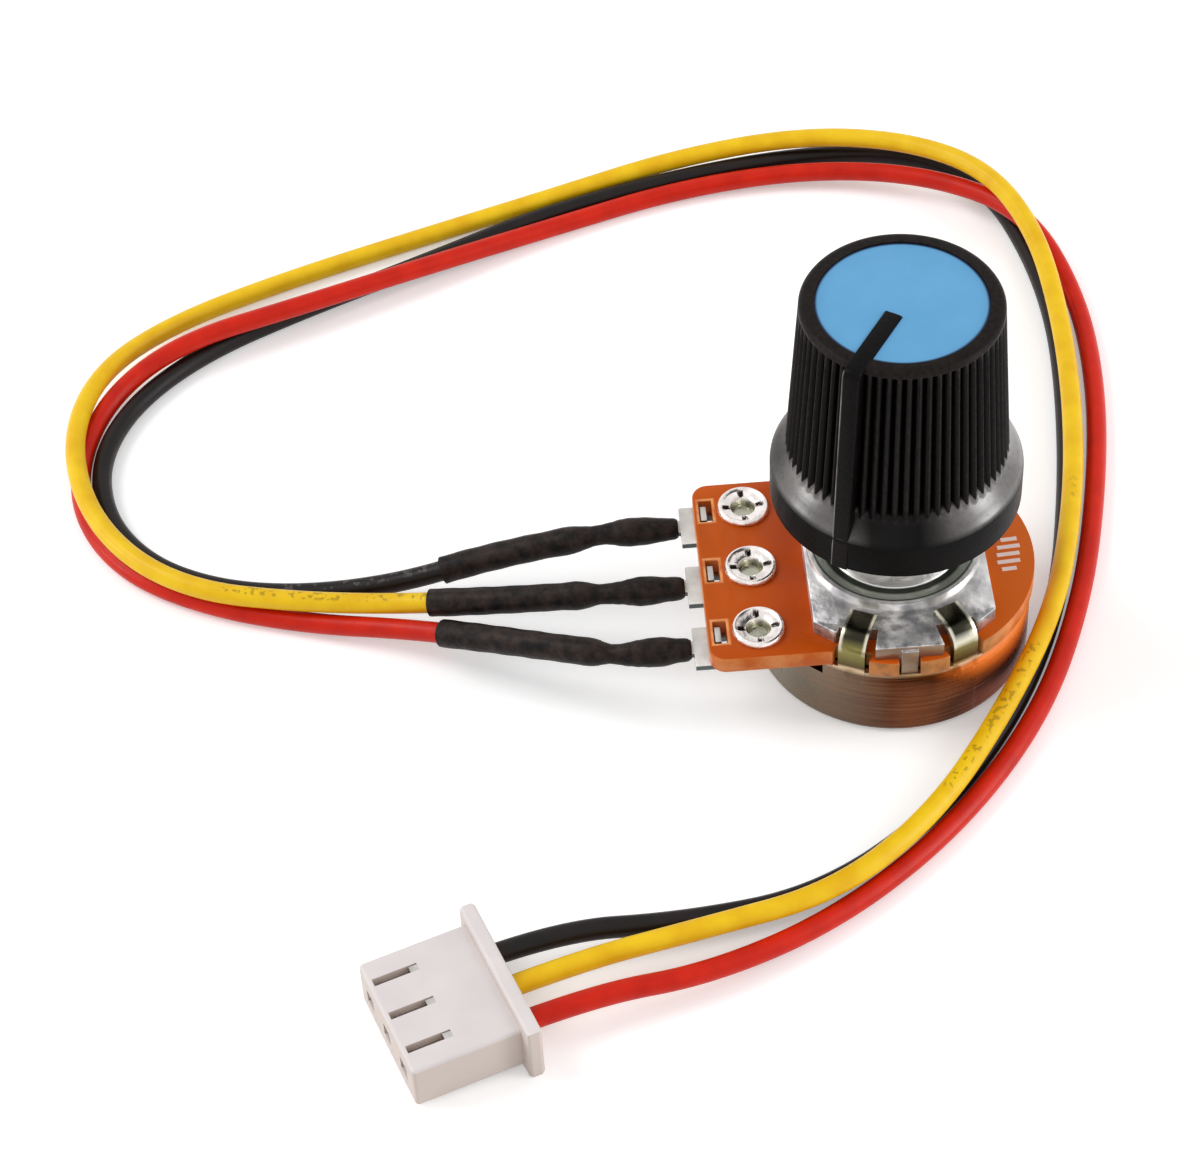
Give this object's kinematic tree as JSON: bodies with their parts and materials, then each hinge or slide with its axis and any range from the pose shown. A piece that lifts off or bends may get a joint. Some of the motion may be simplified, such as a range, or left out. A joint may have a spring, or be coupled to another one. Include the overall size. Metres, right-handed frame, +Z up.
{
  "type": "rotary potentiometer",
  "caption": "Panel rotary potentiometer with a ribbed push-on knob, a threaded bushing and sleeved colour wires that end in a flat plug.",
  "frame": {"origin": "centre of the can's flat back, on the shaft's axis", "axes": "+Z up the shaft towards the knob; the terminals and sleeves leave towards -X"},
  "size_m": [0.0687, 0.0781, 0.0278],
  "materials": {
    "can_metal": "yellow-passivated zinc plate, with fine drawn lines",
    "board": "orange phenolic, satin",
    "carbon": "matte printed film",
    "silver_film": "matte printed film",
    "terminal_metal": "dull tin plate",
    "rivet_metal": "tin plate",
    "plate_metal": "bright die casting",
    "shaft_metal": "turned, satin",
    "ring_metal": "satin",
    "rotor_plastic": "matte",
    "wiper_metal": "spring strip, satin",
    "knob_black": "fine satin",
    "cap_blue": "satin",
    "solder": "satin",
    "sleeve_plastic": "satin",
    "wire_black": "satin",
    "wire_yellow": "satin",
    "wire_red": "satin",
    "plug_plastic": "satin, slightly translucent",
    "contact_metal": "tin plate"
  },
  "bodies": {
    "base": {"rear_can": "can_metal", "track_board": "board", "carbon_track": "carbon", "collector_ring": "silver_film", "terminal_1": "terminal_metal", "terminal_2": "terminal_metal", "terminal_3": "terminal_metal", "rivet_1": "rivet_metal", "rivet_2": "rivet_metal", "rivet_3": "rivet_metal", "mounting_plate": "plate_metal", "solder_1": "solder", "solder_2": "solder", "solder_3": "solder", "sleeve_black": "sleeve_plastic", "sleeve_yellow": "sleeve_plastic", "sleeve_red": "sleeve_plastic", "wire_black": "wire_black", "wire_yellow": "wire_yellow", "wire_red": "wire_red", "plug_housing": "plug_plastic", "contact_1": "contact_metal", "contact_2": "contact_metal", "contact_3": "contact_metal"},
    "spindle": {"shaft": "shaft_metal", "retaining_ring": "ring_metal", "rotor": "rotor_plastic", "wiper": "wiper_metal", "knob_body": "knob_black", "knob_cap": "cap_blue"}
  },
  "joints": [
    {"name": "knob_turn", "type": "hinge", "parent": "base", "child": "spindle", "pos_m": [0, 0, 0], "axis": [0, 0, 1], "range_deg": [-27, 273]}
  ]
}
